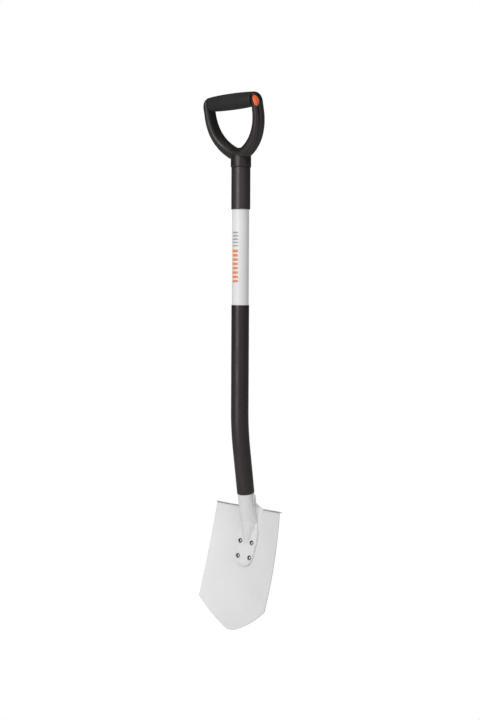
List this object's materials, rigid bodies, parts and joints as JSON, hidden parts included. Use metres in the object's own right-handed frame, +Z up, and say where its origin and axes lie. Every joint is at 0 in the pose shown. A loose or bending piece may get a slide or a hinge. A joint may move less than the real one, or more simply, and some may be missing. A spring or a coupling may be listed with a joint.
{
  "type": "garden spade",
  "caption": "Pointed garden spade: dished steel blade riveted to a cranked aluminium shaft, sleeve on the lower shaft and a D grip on top.",
  "frame": {"origin": "on the shaft's axis, half way along the straight part of the lower sleeve, where a rack clip holds the spade", "axes": "+Z up the straight part of the shaft towards the D grip, -Y the blade's hollow front, +X across the blade"},
  "size_m": [0.1714, 0.0897, 1.0534],
  "materials": {
    "blade_paint": "light grey coat, satin",
    "tube_paint": "white powder coat, satin",
    "sleeve_plastic": "black, semi-matt",
    "rivet_steel": "dull",
    "bush_plastic": "black, semi-matt",
    "plug_plastic": "matt",
    "grip_plastic": "black, semi-matt",
    "cover_rubber": "soft, fine grained",
    "inlay_plastic": "orange, gloss",
    "screw_steel": "zinc, dull",
    "label_print": "printed film, satin"
  },
  "bodies": {
    "root": {"blade": "blade_paint", "shaft_tube": "tube_paint", "lower_sleeve": "sleeve_plastic", "blade_rivets": "rivet_steel", "neck_bush": "bush_plastic", "shaft_plug": "plug_plastic", "grip_frame": "grip_plastic", "grip_bar_cover": "cover_rubber", "grip_inlay_left": "inlay_plastic", "grip_inlay_right": "inlay_plastic", "grip_screw": "screw_steel", "shaft_label": "label_print"}
  },
  "joints": []
}
